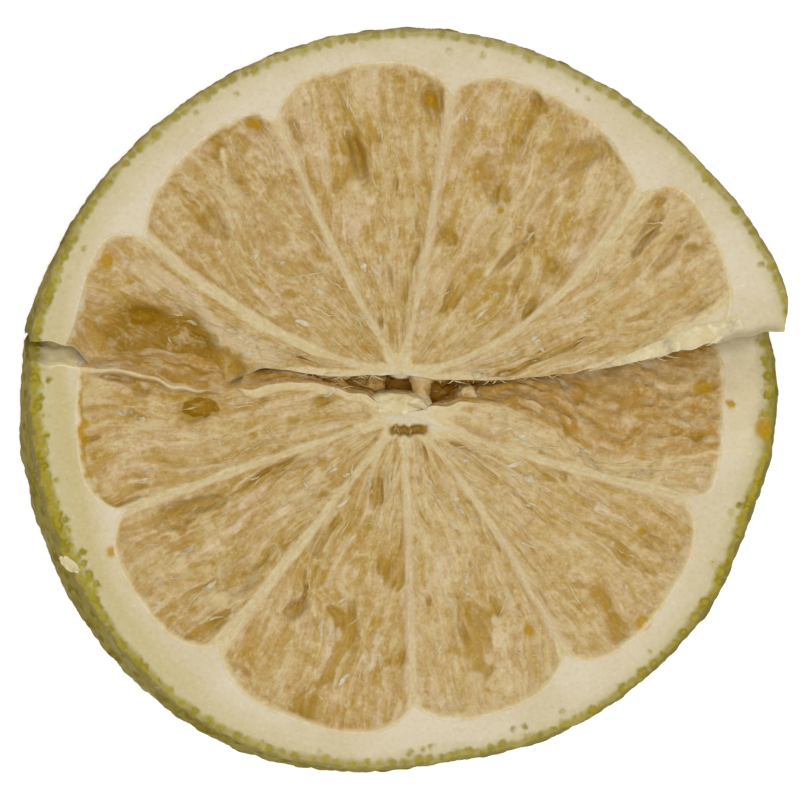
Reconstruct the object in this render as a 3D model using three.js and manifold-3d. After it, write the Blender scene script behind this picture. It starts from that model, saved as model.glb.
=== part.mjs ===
// Freeze-dried lime slice: one thick round slice, lying on one cut face and cracked across
// the other. The crack is closed at the left of the rind and gapes at the right, where the
// upper half has ridden up over the lower one. Millimetres, +Z up, +Y across the crack.
// The origin is the middle of the underside.

import * as THREE from 'three';
import { mergeVertices } from 'three/addons/utils/BufferGeometryUtils.js';
import Module from 'manifold-3d';

const wasm = await Module();
wasm.setup();

const DEG = Math.PI / 180;

// Driving dimensions.
const thickness = 7.3; // from cut face to cut face, beside the crack
const lift = 0.7; // how far the upper half rises at the gaping end of the crack
const liftAlong = [-2, 22]; // it rises between these places along the crack
const liftAcross = [3, 17]; // and sinks back between these across it
const floorHeight = 1.8; // flesh and pith left whole under the crack
const floorRadius = 21.5;
const fleshDepth = 0.45; // how far the dried flesh lies below the pith
const membraneDepth = 0.1; // how far the membranes lie below the pith
const membraneShare = 0.1; // share of a segment's width in which flesh rises to a membrane
const borderShare = 0.1; // share of its length in which flesh rises to the pith
const hubShare = 0.15; // share of its length in which flesh rises to the hub
const rippleHeight = 0.1; // unevenness of the flesh
const dishDepth = 0.3; // how far the whole face sinks towards its middle
const cornerRounding = 0.09; // share of a segment's length lost at its outer corners
const rindRadius = 23.8; // mean radius of the rind, where a bent membrane runs straight out
const cornerPower = 4; // how late along the border that rounding begins
const lipReach = 1.4; // how far the lip's right end stands out over the rind below it
const lipPlace = { at: 8, spread: 28 };
const edgeRounding = 0.12; // drop of the pith's outermost ring

// Underside: shallow pockets of dried flesh between the membranes.
const pocketDepth = 0.3;
const pocketHub = new THREE.Vector2(-0.1, 0.4);
const pocketInner = 2.4;
const pocketOuter = 20.6;
const pocketSteps = 8; // sides of a pocket's outer end
const membraneHalfWidth = 0.32;
const crackMembranes = [3, 175]; // directions of the two membranes that the crack follows above

// The rind bulges out below the cut face, most at the lower left.
const rindBulge = 0.5;
const rindSwell = { at: 208, rise: 0.85, spread: 42 };
const bulgeHeight = 0.38; // share of the thickness at which the rind stands out most
const bulgePower = 2.6; // how squarely it turns in towards both faces

// A line runs from a half's hub to its rim. It leaves the rim at `rim` degrees, turns by
// `bend` more on its way to the hub, and may have a bite: a sideways step at one radius.
const line = (rim, bend, bite) => ({ rim, bend, bite });

// The halves. Lines go anticlockwise, `crack` lines first and last, with the membranes
// between them. A crack line has a foot, where its broken wall meets the underside.
const lowerHalf = {
  hub: new THREE.Vector2(0, -0.9),
  rimCentre: new THREE.Vector2(-0.15, 0.4),
  rimRadius: 23.95,
  swells: [
    { at: 240, rise: 0.7, spread: 25 },
    { at: 278, rise: -0.35, spread: 13 },
    { at: 342, rise: -0.35, spread: 8 },
  ],
  lines: [
    line(172, -25, { at: 13.5, turn: 12, spread: 4 }),
    line(199, -1),
    line(231.5, 0),
    line(271.9, 0),
    line(302.6, 12),
    line(343.9, -5),
    line(354, 24, { at: 12.5, turn: -14, spread: 6 }),
  ],
  feet: [line(166, -50), line(376, 40)],
  wallStart: 0.25, // share of the thickness at which the broken wall begins
  wallPower: 1.2,
  segmentLengths: [21.3, 21, 21.1, 20.3, 20.9, 20.7],
  lift: 0,
  lipReach: 0,
};

const upperHalf = {
  hub: new THREE.Vector2(-0.2, 1.7),
  rimCentre: new THREE.Vector2(0.3, -1.2),
  rimRadius: 24.75,
  swells: [
    { at: 13, rise: 0.8, spread: 17 },
    { at: 89, rise: 0.2, spread: 20 },
  ],
  lines: [
    line(6.5, -16),
    line(39.4, -35),
    line(80, -3),
    line(115.4, 6),
    line(150, 22),
    line(174.9, 14, { at: 13, turn: -4, spread: 4 }),
  ],
  feet: [line(8.5, -18), line(173.5, 14)],
  wallStart: 0.85,
  wallPower: 1,
  segmentLengths: [22.2, 20.6, 20.3, 20, 21.4],
  lift,
  lipReach,
};

// Hollows in the cut face, where flesh has shrunk or broken away: middle, half length,
// half width, turn of the long axis in degrees, and depth.
const hollows = [
  { x: -15.6, y: 3.9, long: 5.5, wide: 1.9, turn: -8, depth: 1.7 },
  { x: -17.2, y: 5.5, long: 1.3, wide: 0.9, turn: 0, depth: 0.9 },
  { x: -13.3, y: -0.5, long: 1.6, wide: 0.9, turn: 10, depth: 1.5 },
  { x: -12.3, y: 11.4, long: 1.1, wide: 0.7, turn: -40, depth: 0.7 },
  { x: -3.0, y: 15.8, long: 2.2, wide: 0.6, turn: 100, depth: 0.8 },
  { x: 12.2, y: 15.7, long: 1.8, wide: 0.9, turn: 50, depth: 0.8 },
  { x: 17.1, y: 10.7, long: 2.1, wide: 0.8, turn: 60, depth: 0.6 },
  { x: -10.7, y: -11.4, long: 1.4, wide: 0.9, turn: 45, depth: 0.8 },
  { x: -6.9, y: -13.5, long: 1.0, wide: 0.7, turn: 40, depth: 0.7 },
  { x: 16.6, y: -9.6, long: 1.7, wide: 0.6, turn: -40, depth: 0.6 },
];

// The pale core of the slice stands in the crack as two lumps: middle, half length and half
// width of each.
const coreTop = 7.05;
const coreRounding = 0.55; // drop of a lump's top towards its rim
const coreLumps = [
  { x: -0.3, y: -0.45, long: 2.0, wide: 1.2 },
  { x: 2.2, y: 0.1, long: 0.9, wide: 0.7 },
];

// Shares along a segment's width and length and through the thickness, closer together
// where the surface turns.
const acrossSegment = [0, 0.04, 0.1, 0.22, 0.36, 0.5, 0.64, 0.78, 0.9, 0.96];
const alongSegment = [0, 0.08, 0.18, 0.3, 0.42, 0.54, 0.66, 0.77, 0.86, 0.93, 0.97, 1];
const acrossPith = [0.1, 0.5, 0.88, 1];
const throughThickness = [0, 0.06, 0.16, 0.25, 0.4, 0.55, 0.7, 0.85, 0.94, 1];

const { lerp, smoothstep } = THREE.MathUtils;

// A smooth hump of height 1 at `middle`, on a circle of 360 degrees.
function hump(angle, middle, spread) {
  const away = THREE.MathUtils.euclideanModulo(angle - middle + 180, 360) - 180;
  return Math.exp(-((away / spread) ** 2));
}

function lineAngle({ rim, bend, bite }, radius) {
  const inward = Math.max(0, 1 - radius / rindRadius);
  const step = bite ? bite.turn * Math.exp(-(((radius - bite.at) / bite.spread) ** 2)) : 0;
  return rim + bend * inward ** 1.5 + step;
}

// Membranes stand upright. A crack line leans from its foot to its edge in the cut face.
function edgeAngle(half, index, radius, share) {
  const angle = lineAngle(half.lines[index], radius);
  const isFirst = index === 0;
  const isLast = index === half.lines.length - 1;
  if (!isFirst && !isLast) return angle;
  const foot = half.feet[isFirst ? 0 : 1];
  const risen = Math.max(0, (share - half.wallStart) / (1 - half.wallStart));
  return lerp(lineAngle(foot, radius), angle, risen ** half.wallPower);
}

// Distance from the hub to the rind's outside, at a share of the thickness.
function rimDistance(half, angle, share) {
  const ray = new THREE.Vector2(Math.cos(angle * DEG), Math.sin(angle * DEG));
  const offset = half.hub.clone().sub(half.rimCentre);
  const along = offset.dot(ray);
  const edge = -along + Math.sqrt(along ** 2 - offset.lengthSq() + half.rimRadius ** 2);
  const swell = half.swells.reduce((sum, s) => sum + s.rise * hump(angle, s.at, s.spread), 0);
  const fromBelly = Math.abs(share - bulgeHeight) / (1 - bulgeHeight);
  const bulge = rindBulge + rindSwell.rise * hump(angle, rindSwell.at, rindSwell.spread);
  const tuck = half.lipReach * hump(angle, lipPlace.at, lipPlace.spread) * (1 - share);
  return edge + swell + bulge * (1 - fromBelly ** bulgePower) - tuck;
}

function hollowDepth(x, y) {
  return hollows.reduce((sum, h) => {
    const local = new THREE.Vector2(x - h.x, y - h.y).rotateAround(new THREE.Vector2(), -h.turn * DEG);
    return sum + h.depth * Math.exp(-((local.x / h.long) ** 2) - (local.y / h.wide) ** 2);
  }, 0);
}

// Height of the cut face. `across` and `along` are the shares of a segment's width and
// length, and `pith` is the share of the pith ring's width.
function faceHeight(half, across, along, pith, x, y) {
  const fromMembrane = Math.min(across, 1 - across);
  const inward = 1 - smoothstep(along, 1 - borderShare, 1);
  const flesh = smoothstep(fromMembrane, 0, membraneShare) * smoothstep(along, 0, hubShare) * inward;
  const ripple = rippleHeight * Math.sin(0.9 * x + 0.4 * y) * Math.cos(0.7 * y - 0.5 * x);
  const dish = dishDepth * Math.max(0, 1 - (x * x + y * y) / rindRadius ** 2);
  const risen = half.lift * smoothstep(x, ...liftAlong) * (1 - smoothstep(y, ...liftAcross));
  const sunk = flesh * (fleshDepth + ripple + hollowDepth(x, y)) + membraneDepth * inward + dish;
  return thickness + risen - sunk - edgeRounding * pith ** 4;
}

// The half as a bent block: columns run round the hub, rows out to the rind, and levels
// up through the thickness.
function blockPoint(half, column, row, share) {
  const across = acrossSegment[column % acrossSegment.length];
  const segment = Math.floor(column / acrossSegment.length);
  const next = Math.min(segment + 1, half.lines.length - 1);
  const angleAt = (radius) =>
    lerp(edgeAngle(half, segment, radius, share), edgeAngle(half, next, radius, share), across);
  const length = half.segmentLengths[Math.min(segment, half.segmentLengths.length - 1)];
  const rounding = cornerRounding * Math.abs(2 * across - 1) ** cornerPower;
  const rimDirection = angleAt(rindRadius);
  const fleshEnd = length * (1 - rounding);
  const inFlesh = row < alongSegment.length;
  const pith = inFlesh ? 0 : acrossPith[row - alongSegment.length];
  const along = inFlesh ? alongSegment[row] : 1;
  const radius = lerp(along * fleshEnd, rimDistance(half, rimDirection, share), pith);
  const angle = angleAt(radius) * DEG;
  const x = half.hub.x + radius * Math.cos(angle);
  const y = half.hub.y + radius * Math.sin(angle);
  return [x, y, share * faceHeight(half, across, along, pith, x, y)];
}

// A grid of triangles over a function of two whole numbers.
function grid(countA, countB, pointAt) {
  const corners = [];
  for (let a = 0; a < countA; a++) {
    for (let b = 0; b < countB; b++) {
      const [p, q, r, s] = [pointAt(a, b), pointAt(a + 1, b), pointAt(a + 1, b + 1), pointAt(a, b + 1)];
      corners.push(...p, ...q, ...r, ...p, ...r, ...s);
    }
  }
  return corners;
}

// A closed geometry as a manifold solid. Triangles that have shrunk to a line are left out.
function solidOf(geometry) {
  const bare = new THREE.BufferGeometry();
  bare.setAttribute('position', geometry.getAttribute('position').clone());
  if (geometry.index) bare.setIndex(geometry.index.clone());
  const merged = mergeVertices(bare, 1e-4);
  const index = merged.index.array;
  const kept = [];
  for (let i = 0; i < index.length; i += 3) {
    const [a, b, c] = index.slice(i, i + 3);
    if (a !== b && b !== c && c !== a) kept.push(a, b, c);
  }
  return new wasm.Manifold(
    new wasm.Mesh({
      numProp: 3,
      vertProperties: new Float32Array(merged.getAttribute('position').array),
      triVerts: new Uint32Array(kept),
    }),
  );
}

function geometryOf(solid) {
  const mesh = solid.getMesh();
  const geometry = new THREE.BufferGeometry();
  geometry.setAttribute('position', new THREE.BufferAttribute(mesh.vertProperties, 3));
  geometry.setIndex(new THREE.BufferAttribute(mesh.triVerts, 1));
  return geometry;
}

function halfSlice(half) {
  const columns = acrossSegment.length * half.segmentLengths.length;
  const rows = alongSegment.length + acrossPith.length - 1;
  const levels = throughThickness.length - 1;
  const at = (column, row, level) => blockPoint(half, column, row, throughThickness[level]);
  const corners = [
    ...grid(rows, columns, (row, column) => at(column, row, levels)),
    ...grid(columns, rows, (column, row) => at(column, row, 0)),
    ...grid(columns, levels, (column, level) => at(column, rows, level)),
    ...grid(rows, levels, (row, level) => at(0, row, level)),
    ...grid(levels, rows, (level, row) => at(columns, row, level)),
  ];
  const geometry = new THREE.BufferGeometry();
  geometry.setAttribute('position', new THREE.Float32BufferAttribute(corners, 3));
  return solidOf(geometry);
}

// The unbroken flesh and pith under the crack.
function sliceFloor() {
  const disc = new THREE.CylinderGeometry(floorRadius, floorRadius, floorHeight, 48);
  disc.rotateX(90 * DEG).translate(0, 0, floorHeight / 2);
  return solidOf(disc);
}

function coreLump({ x, y, long, wide }) {
  const shoulder = [1, 0.92, 0.7, 0.38].map(
    (reach) => new THREE.Vector2(reach, coreTop - coreRounding * (1 - Math.sqrt(1 - reach ** 2))),
  );
  const foot = floorHeight / 2;
  const profile = [new THREE.Vector2(0, foot), new THREE.Vector2(1, foot), ...shoulder];
  const lump = new THREE.LatheGeometry([...profile, new THREE.Vector2(0, coreTop)], 16);
  lump.rotateX(90 * DEG).scale(long, wide, 1).translate(x, y, 0);
  return solidOf(lump);
}

// One pocket of the underside: a wedge between two membranes, with rounded outer corners.
function underPocket(start, end) {
  const outline = [];
  const gapAt = (radius) => membraneHalfWidth / radius / DEG;
  for (let i = 0; i <= pocketSteps; i++) {
    const share = i / pocketSteps;
    const radius = pocketOuter * (1 - cornerRounding * Math.abs(2 * share - 1) ** cornerPower);
    const angle = lerp(start + gapAt(radius), end - gapAt(radius), share) * DEG;
    outline.push(new THREE.Vector2(radius * Math.cos(angle), radius * Math.sin(angle)));
  }
  for (const angle of [end - gapAt(pocketInner), start + gapAt(pocketInner)]) {
    const away = angle * DEG;
    outline.push(new THREE.Vector2(pocketInner * Math.cos(away), pocketInner * Math.sin(away)));
  }
  const wedge = new THREE.ExtrudeGeometry(new THREE.Shape(outline), {
    depth: 2 * pocketDepth,
    bevelEnabled: false,
  });
  wedge.translate(pocketHub.x, pocketHub.y, -pocketDepth);
  return solidOf(wedge);
}

function wholeSlice() {
  let slice = halfSlice(lowerHalf).add(halfSlice(upperHalf)).add(sliceFloor());
  coreLumps.forEach((lump) => {
    slice = slice.add(coreLump(lump));
  });
  const membranes = [...upperHalf.lines.slice(1, -1), ...lowerHalf.lines.slice(1, -1)];
  const angles = [...crackMembranes, ...membranes.map(({ rim }) => rim)].sort((a, b) => a - b);
  angles.forEach((start, i) => {
    const end = i + 1 < angles.length ? angles[i + 1] : angles[0] + 360;
    slice = slice.subtract(underPocket(start, end));
  });
  return slice;
}

const geometry = geometryOf(wholeSlice());
geometry.computeBoundingBox();
const middle = geometry.boundingBox.getCenter(new THREE.Vector3());
geometry.translate(-middle.x, -middle.y, 0);

const limeSlice = new THREE.Mesh(
  geometry,
  new THREE.MeshStandardMaterial({ color: 0xbfa377, roughness: 0.75, metalness: 0 }),
);
limeSlice.name = 'lime_slice';

const part = new THREE.Group();
part.name = 'freeze_dried_lime_slice';
part.add(limeSlice);

export default part;
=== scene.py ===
"""A freeze-dried lime slice: rind, pith, membranes, juice sacs and core, cracked across the face.

Shapes are worked out in millimetres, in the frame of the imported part, and laid down in metres.
"""
import math

import bpy
import mathutils
import numpy as np
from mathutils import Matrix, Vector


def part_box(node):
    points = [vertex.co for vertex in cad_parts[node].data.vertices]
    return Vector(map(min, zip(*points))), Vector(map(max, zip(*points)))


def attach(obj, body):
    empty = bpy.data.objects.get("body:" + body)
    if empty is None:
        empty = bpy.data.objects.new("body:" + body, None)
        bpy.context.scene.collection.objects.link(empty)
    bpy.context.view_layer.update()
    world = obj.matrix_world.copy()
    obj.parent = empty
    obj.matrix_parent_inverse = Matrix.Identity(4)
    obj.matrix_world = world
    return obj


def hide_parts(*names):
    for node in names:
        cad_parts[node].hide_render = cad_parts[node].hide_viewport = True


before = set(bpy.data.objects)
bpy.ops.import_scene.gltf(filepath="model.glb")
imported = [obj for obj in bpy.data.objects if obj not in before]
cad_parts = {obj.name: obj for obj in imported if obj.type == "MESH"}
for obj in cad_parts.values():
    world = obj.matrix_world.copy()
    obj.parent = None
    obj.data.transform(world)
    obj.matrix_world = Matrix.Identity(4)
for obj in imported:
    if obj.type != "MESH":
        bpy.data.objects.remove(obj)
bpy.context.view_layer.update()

NODE = "lime_slice"
MM = 0.001

# ---------------------------------------------------------------- the slice's form, in mm

high_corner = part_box(NODE)[1]
LIFT = 0.7                                   # rise of the upper half at the crack's gaping end
LIP_RISE = 0.65                              # how far the part's highest point stands over the face
THICKNESS = high_corner.z / MM - LIP_RISE    # from cut face to cut face, beside the crack
LAYER = 1.8                                  # height of the crack's floor
RIND_RADIUS = 23.8
FLESH_DEPTH = 0.42                           # how far the dried flesh lies below the pith
DISH = 0.3                                   # how far the cut face sinks towards its middle
CORNER = 0.09                                # share of a segment's length lost at its corners
UNDER_REST = 0.03                            # height of the underside's flesh over the table
CORE_FOOT = 1.2                              # height of the hub's foot, inside the crack's floor
RIM_STEP = 13                                # length of rim, in mm, from one membrane to the next
SAC_RADIUS = 21                              # radius at which the sacs have their full width
HAIR = 1e-6                                  # a length or share too small to see

# Width across the grain of the flesh, and length along it, of each pattern's cells.
GRAINS = {"sacs": (1.25, 3.6), "pits": (2.0, 4.2), "wrinkles": (0.42, 1.5)}


def line(rim, bend=0.0, bite=(0.0, 0.0, 1.0), web=((3, 0.12), (17, 0.2))):
    """A membrane or crack line: its direction at the rim, its turn towards the hub, a sideways
    step as (radius, turn, spread), and half the membrane's thickness at a few radii; below zero
    there is no membrane."""
    return {"rim": rim, "bend": bend, "bite": bite, "web": web}


# Each half of the slice, seen from its own hub. Its crack lines are the first and the last.
LOWER = {
    "hub": (0.0, -0.9),
    "rim_centre": (-0.15, 0.4),
    "rim_radius": 24.3,
    "swells": [(240, 0.7, 25), (278, -0.35, 13), (342, -0.35, 8)],      # direction, rise, spread
    "lines": [
        line(172.3, -19, (11.8, 7.5, 4.6),
             web=((3, 0.4), (9.3, 0.5), (10.3, 0.25), (11.2, -0.3), (13, -0.05), (14.5, 0.12), (21, 0.15))),
        line(199, -1, web=((3, 0.15), (17, 0.22))),
        line(231.5, web=((3, 0.15), (17, 0.3))),
        line(271.9, web=((3, 0.1), (17, 0.12))),
        line(302.6, 12, web=((3, 0.1), (17, 0.13))),
        line(343.9, -5, web=((2, 0.8), (4.5, 0.3), (17, 0.2))),
        line(354, 24, (12.5, -14, 6), web=((3, 0.6), (5.5, -0.3))),
    ],
    "feet": [line(166, -50), line(376, 40)],            # of the crack's two walls, on its floor
    "end_corners": (0.0, 0.0),                          # how round the segments are at the crack
    "corners": 1.0,                                     # how round they are everywhere else
    "hub_web": 0.8,                                     # how much thicker membranes are at the hub
    "wall_start": 0.25,                                 # share of the thickness below the lean
    "wall_power": 1.2,
    "lengths": [21.3, 21.0, 21.1, 20.3, 20.9, 20.7],    # of the segments, from hub to pith
    "dryness": [0.0, -0.3, 0.0, 0.3, 0.2, 0.7],         # paler above zero, darker below it
    "undercut": 0.6,                                    # how much longer the last one is low down
    "foot_height": 0.0,                                 # of the rind over the table
    "lift": 0.0,                                        # rise of the face at the gape
    "reach": 0.0,                                       # overhang of the lip at the gape
    "seed": 1.7,
}
UPPER = {
    "hub": (-0.2, 1.7),
    "rim_centre": (0.3, -1.2),
    "rim_radius": 25.1,
    "swells": [(13, 0.8, 17), (89, 0.2, 20)],
    "lines": [
        line(6.5, -16, web=((4.5, 0.45), (6, -0.1), (11, -0.1), (13, 0.3), (15.5, 1.0), (21, 2.3))),
        line(39.4, -35, web=((3, 0.12), (10, 0.2), (17, 0.4))),
        line(80, -3, web=((3, 0.1), (17, 0.14))),
        line(115.4, 6, web=((3, 0.1), (17, 0.15))),
        line(150, 22, web=((3, 0.2), (9, 0.4), (17, 0.3))),
        line(174.9, 11, (10, -4, 5), web=((3, 0.4), (6.5, 0.4), (8.5, -0.3))),
    ],
    "feet": [line(8.5, -18), line(173.5, 11, (10, -4, 5))],
    "end_corners": (1.0, -0.3),
    "corners": 1.0,
    "hub_web": 0.55,
    "wall_start": 0.85,
    "wall_power": 1.0,
    "lengths": [22.2, 20.6, 20.3, 20.0, 21.4],
    "dryness": [0.3, 0.0, 0.0, -0.3, 0.0],
    "undercut": 0.0,
    "foot_height": 0.015,
    "lift": LIFT,
    "reach": 1.4,
    "seed": 5.1,
}

# Hollows in the cut face: middle x, y, half length, half width, turn in degrees, depth.
HOLLOWS = [
    (-15.2, 3.9, 6.0, 2.6, -12, 1.7),
    (-17.2, 5.5, 1.1, 0.55, 0, 0.6),
    (-13.3, -0.5, 1.2, 0.7, 10, 0.8),
    (-19.0, 1.5, 1.4, 0.22, -10, 0.5),
    (-17.2, 0.6, 0.6, 0.4, 0, 0.4),
    (-16.0, 1.0, 3.5, 0.7, -8, 0.45),
    (6.9, 9.4, 1.5, 0.28, 43, 0.6),
    (-12.3, 11.4, 1.0, 0.6, -40, 0.5),
    (-9.7, 18.0, 0.9, 0.5, 120, 0.5),
    (-7.0, 17.5, 1.0, 0.3, 110, 0.4),
    (-3.0, 15.8, 2.0, 0.4, 105, 0.7),
    (1.7, 19.6, 0.9, 0.5, 100, 0.7),
    (5.6, 14.2, 1.5, 0.5, 105, 0.5),
    (11.6, 16.0, 1.8, 0.8, 20, 0.8),
    (16.1, 11.2, 1.7, 0.4, 61, 0.5),
    (17.5, 9.9, 1.9, 0.4, 52, 0.5),
    (18.9, 6.5, 0.9, 0.7, 30, 0.4),
    (-7.3, -4.3, 1.9, 0.3, 12, 0.4),
    (-13.6, -6.9, 2.2, 0.45, 12, 0.8),
    (-15.0, -7.9, 1.2, 0.5, 15, 0.6),
    (-18.3, -6.8, 1.3, 0.2, 25, 0.5),
    (-10.8, -11.6, 1.2, 0.9, 45, 0.7),
    (-7.0, -13.6, 0.9, 0.5, 40, 0.8),
    (-5.6, -9.3, 0.8, 0.3, 70, 0.4),
    (3.6, -15.3, 0.8, 0.5, 90, 0.4),
    (16.6, -9.6, 1.6, 0.4, -40, 0.5),
]

# Floors of the two widest open sacs, painted dark olive, partly their own colour and partly painted shade:
# middle x, y, half length, half width.
PIT_FLOORS = [(-17.2, 5.4, 1.15, 0.55), (-13.3, -0.5, 1.15, 0.6)]

# Folds of membrane that stand inside a segment: from x, y to x, y, and half the thickness.
FOLDS = [
    (-11.8, 16.2, -9.4, 9.1, 0.06),
    (10.2, 13.2, 5.4, 8.2, 0.14),
]

# Places where no sac has opened: middle x, y, radius.
WHOLE = [(9.3, 7.2, 1.8), (-13.8, -3.6, 2.8), (7.1, 14.8, 1.6)]

# Amber and orange-brown specks and stains: middle x, y, radius.
STAINS = [
    (15.5, -14.5, 0.5), (8.1, -15.0, 0.35), (-19.0, -9.9, 0.45), (23.4, -1.9, 0.7), (-19.4, 9.1, 0.5),
    (1.7, 19.6, 0.45), (-9.7, 18.1, 0.6), (6.3, 12.3, 0.25), (15.5, -8.6, 0.25), (19.5, 0.8, 0.6),
    (-20.9, -1.5, 0.35), (-20.9, -2.6, 0.3), (21.4, -0.3, 0.3),
]


def smooth(value, low, high):
    share = np.clip((value - low) / (high - low), 0, 1)
    return share * share * (3 - 2 * share)


def at_start(share):
    return share < 0.001


def at_end(share):
    return share > 0.999


def bell(away, spread):
    return np.exp(-((away / spread) ** 2))


def hump(angle, middle, spread):
    """A bell round a direction, in degrees."""
    return bell((angle - middle + 180) % 360 - 180, spread)


def drift(u, v, seed, size):
    """A smooth wander between about -1 and 1 that repeats nowhere nearby."""
    total = 0 * u
    for k in range(5):
        heading = seed * 1.7 + 2.4 * k
        pace = (0.7 + 0.23 * k) * 2 * math.pi / size
        total = total + np.sin(pace * (u * math.cos(heading) + v * math.sin(heading)) + seed * (k + 1.3))
    return total / 3


def line_angle(run, radius):
    inward = np.maximum(0, 1 - radius / RIND_RADIUS)
    at, turn, spread = run["bite"]
    return run["rim"] + run["bend"] * inward ** 1.5 + turn * bell(radius - at, spread)


def edge_angle(half, index, radius, share):
    """Membranes stand upright; a crack line leans from its foot to its edge in the cut face."""
    angle = line_angle(half["lines"][index], radius)
    if 0 < index < len(half["lines"]) - 1:
        return angle
    torn = 0.13 * drift(radius, 0 * radius, 3.3 + half["seed"], 2.3)
    angle = angle + np.degrees(torn / np.maximum(radius, 2))
    foot = line_angle(half["feet"][0 if index == 0 else 1], radius)
    risen = np.clip((share - half["wall_start"]) / (1 - half["wall_start"]), 0, 1)
    return foot + (angle - foot) * risen ** half["wall_power"]


def direction(half, turn, radius, share):
    """Direction from the hub, where `turn` counts the half's lines: 0 is its first line."""
    count = len(half["lines"])
    angles = np.stack([edge_angle(half, i, radius, share) + 0 * turn for i in range(count)])
    first = np.clip(np.floor(turn).astype(int), 0, count - 2)
    pick = np.arange(len(turn))
    return angles[first, pick] + (angles[first + 1, pick] - angles[first, pick]) * (turn - first)


def rim_distance(half, angle, share):
    """Distance from the hub to the outside of the rind."""
    hub, centre = np.array(half["hub"]), np.array(half["rim_centre"])
    offset = hub - centre
    along = offset[0] * np.cos(np.radians(angle)) + offset[1] * np.sin(np.radians(angle))
    edge = -along + np.sqrt(along ** 2 - offset @ offset + half["rim_radius"] ** 2)
    swell = sum(rise * hump(angle, at, spread) for at, rise, spread in half["swells"])
    bulge = 0.13 + 0.87 * hump(angle, 208, 42)
    from_belly = np.abs(share - 0.38) / 0.62
    tuck = half["reach"] * hump(angle, 8, 28) * (1 - share)
    return edge + swell + bulge * (1 - from_belly ** 2.6) - tuck


def border_distance(half, turn, share=1.0):
    """Distance from the hub to where flesh meets pith; the pith is thinner low down at the gape."""
    lengths = np.array(half["lengths"])
    first = np.clip(np.floor(turn).astype(int), 0, len(lengths) - 1)
    from_middle = np.abs(2 * (turn - first) - 1)
    rounding = np.where(turn < 0.5, half["end_corners"][0], half["corners"])
    rounding = np.where(turn > len(lengths) - 0.5, half["end_corners"][1], rounding)
    beside = np.clip(np.where(turn - first < 0.5, first - 1, first + 1), 0, len(lengths) - 1)
    at_corner = (lengths[beside] - lengths[first]) / 2 * from_middle ** 8
    undercut = half["undercut"] * (1 - share) * smooth(turn, 5.3, 6.0)
    return (lengths[first] + at_corner) * (1 - CORNER * rounding * from_middle ** 4) + undercut


def above_ridge(x, y):
    """Distance above the torn ridge, and how much of the ridge there is beside the point."""
    spine = np.interp(x, (-18.5, -17.8, -13.9, -12.0, -9.4, -6.8), (7.8, 8.2, 6.5, 3.9, 2.6, 1.8))
    there = smooth(x, -18.8, -16.5) * smooth(x, -6.5, -9.0)
    return 0.75 * (y - spine) + 0.12 * drift(x, y, 2.2, 1.7), there


def hollow_depth(x, y):
    above, there = above_ridge(x, y)
    total = 0 * x
    for mid_x, mid_y, long, wide, turn, depth in HOLLOWS:
        c, s = math.cos(math.radians(turn)), math.sin(math.radians(turn))
        u, v = (x - mid_x) * c + (y - mid_y) * s, (y - mid_y) * c - (x - mid_x) * s
        total = total + depth * np.exp(-(((u / long) ** 2 + (v / wide) ** 2) ** 1.6))
    return total * (1 - there * smooth(above, -1.5, 0.2) * smooth(above, 2.5, 1.5))


def pit_floor(x, y):
    total = 0 * x
    for mid_x, mid_y, long, wide in PIT_FLOORS:
        away = np.hypot((x - mid_x) / long, (y - mid_y) / wide) + 0.15 * drift(x, y, 4.4, 0.8)
        total = total + smooth(away, 1.1, 0.85)
    return total


def slit_depth(x, y):
    """The ragged slit beside the core."""
    away = (y + 1.95 + 0.1 * drift(x, 0 * x, 1.1, 0.7)) / 0.3
    return 0.75 * np.exp(-(((x - 0.3) / 1.2) ** 6) - away ** 4)


def ridge(x, y):
    """How much of the torn ridge there is at a point."""
    above, there = above_ridge(x, y)
    return there * bell(above - 0.35, 0.6)


def fold_distance(x, y):
    """Distance beyond the side of the nearest fold of membrane."""
    nearest = 99.0 + 0 * x
    for from_x, from_y, to_x, to_y, half_thick in FOLDS:
        run_x, run_y = to_x - from_x, to_y - from_y
        along = np.clip(((x - from_x) * run_x + (y - from_y) * run_y) / (run_x ** 2 + run_y ** 2), 0, 1)
        bow = 0.5 * np.sin(math.pi * along)
        away = np.hypot(x - from_x - along * run_x + bow, y - from_y - along * run_y)
        nearest = np.minimum(nearest, away - half_thick * np.sin(math.pi * (0.1 + 0.8 * along)))
    return nearest


def in_spots(spots, x, y):
    """How much of a spot there is at a point."""
    return sum(bell(np.hypot(x - mid_x, y - mid_y), size) for mid_x, mid_y, size in spots)


def face_height(half, x, y):
    """Height of the cut face at the pith and the membranes."""
    dish = DISH * np.maximum(0, 1 - (x * x + y * y) / RIND_RADIUS ** 2)
    risen = half["lift"] * smooth(x, -2, 22) * (1 - smooth(y, 3, 17))
    return THICKNESS + risen - dish


def spread_out(half, turn, radius_share, share, pith=0.0):
    """Plan position, radius and direction at shares of a segment's length and the thickness."""
    rim_direction = direction(half, turn, RIND_RADIUS, share)
    border = border_distance(half, turn, share)
    radius = radius_share * border
    radius = radius + pith * (rim_distance(half, rim_direction, share) - radius)
    angle = direction(half, turn, radius, share)
    x = half["hub"][0] + radius * np.cos(np.radians(angle))
    y = half["hub"][1] + radius * np.sin(np.radians(angle))
    return x, y, radius, angle


# ---------------------------------------------------------------- working on a mesh


def only(piece):
    bpy.ops.object.select_all(action="DESELECT")
    piece.select_set(True)
    bpy.context.view_layer.objects.active = piece


def points_of(piece):
    flat = np.empty(len(piece.data.vertices) * 3, np.float32)
    piece.data.vertices.foreach_get("co", flat)
    return flat.reshape(-1, 3).astype(float)


def set_points(piece, points):
    piece.data.vertices.foreach_set("co", np.ascontiguousarray(points, np.float32).ravel())
    piece.data.update()


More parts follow.
